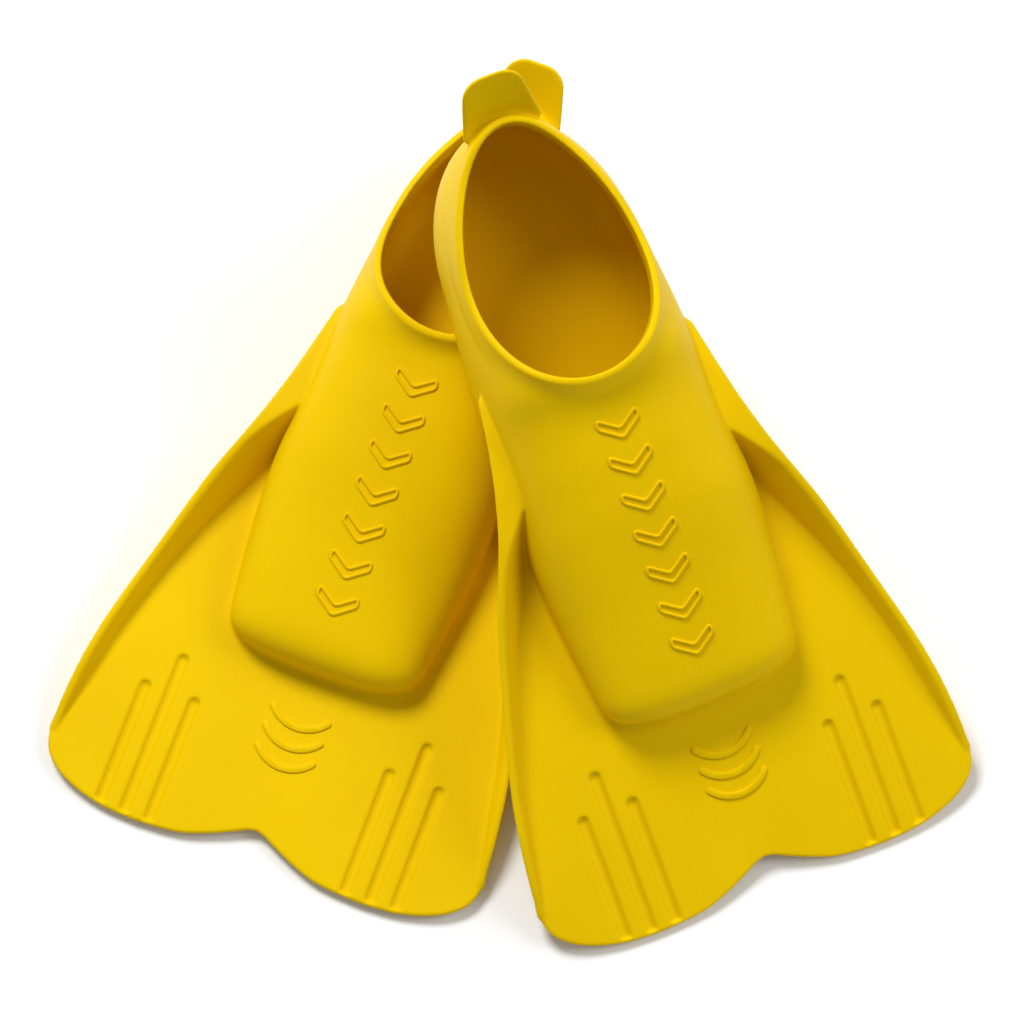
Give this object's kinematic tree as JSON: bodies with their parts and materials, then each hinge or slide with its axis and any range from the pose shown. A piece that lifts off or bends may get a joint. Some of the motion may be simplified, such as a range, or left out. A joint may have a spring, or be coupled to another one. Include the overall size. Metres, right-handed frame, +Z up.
{
  "type": "swim fins",
  "caption": "Pair of short full-foot swim fins in yellow elastomer, one lying across the other, with closed-toe foot pockets, heel pull tabs, side rails and channelled two-lobed blades.",
  "frame": {"origin": "middle of the pair's box, on the floor they lie on", "axes": "+Z up from the floor; heels towards +Y and blades towards -Y; the lower, flat-lying fin spreads to -X and the upper one to +X"},
  "size_m": [0.3878, 0.371, 0.1677],
  "materials": {
    "yellow_elastomer": "satin yellow moulded elastomer, smooth, one colour through and through"
  },
  "bodies": {
    "left_pocket": {"left_foot_pocket": "yellow_elastomer", "left_sole": "yellow_elastomer", "left_opening_rim": "yellow_elastomer", "left_tab_root": "yellow_elastomer", "left_blade_root": "yellow_elastomer", "left_rail_root_outboard": "yellow_elastomer", "left_rail_root_inboard": "yellow_elastomer", "left_vamp_mark": "yellow_elastomer"},
    "left_blade": {"left_flex_web": "yellow_elastomer", "left_blade_tip": "yellow_elastomer", "left_rail_tip_outboard": "yellow_elastomer", "left_rail_tip_inboard": "yellow_elastomer", "left_blade_mark": "yellow_elastomer"},
    "left_tab": {"left_heel_tab": "yellow_elastomer"},
    "right_pocket": {"right_foot_pocket": "yellow_elastomer", "right_sole": "yellow_elastomer", "right_opening_rim": "yellow_elastomer", "right_tab_root": "yellow_elastomer", "right_blade_root": "yellow_elastomer", "right_rail_root_outboard": "yellow_elastomer", "right_rail_root_inboard": "yellow_elastomer", "right_vamp_mark": "yellow_elastomer"},
    "right_blade": {"right_flex_web": "yellow_elastomer", "right_blade_tip": "yellow_elastomer", "right_rail_tip_outboard": "yellow_elastomer", "right_rail_tip_inboard": "yellow_elastomer", "right_blade_mark": "yellow_elastomer"},
    "right_tab": {"right_heel_tab": "yellow_elastomer"}
  },
  "joints": [
    {"name": "left_blade_flex", "type": "hinge", "parent": "left_pocket", "child": "left_blade", "pos_m": [-0.08413, -0.07911, 0.00794], "axis": [0.9367, -0.3502, 0], "range_deg": [-24, 24], "stiffness_Nm_per_rad": 4, "deforming": ["left_flex_web"]},
    {"name": "left_tab_flex", "type": "hinge", "parent": "left_pocket", "child": "left_tab", "pos_m": [0.00734, 0.16555, 0.05476], "axis": [0.9367, -0.3502, 0], "range_deg": [-50, 30], "stiffness_Nm_per_rad": 0.05},
    {"name": "right_fin_lift", "type": "slide", "parent": "left_pocket", "child": "right_pocket", "axis": [0, 0, 1], "range_m": [0, 0.12]},
    {"name": "right_blade_flex", "type": "hinge", "parent": "right_pocket", "child": "right_blade", "pos_m": [0.0847, -0.09405, 0.02719], "axis": [0.9272, 0.3746, 0], "range_deg": [-24, 24], "stiffness_Nm_per_rad": 4, "deforming": ["right_flex_web"]},
    {"name": "right_tab_flex", "type": "hinge", "parent": "right_pocket", "child": "right_tab", "pos_m": [-0.00437, 0.12643, 0.14498], "axis": [0.9272, 0.3746, 0], "range_deg": [-50, 30], "stiffness_Nm_per_rad": 0.05}
  ]
}
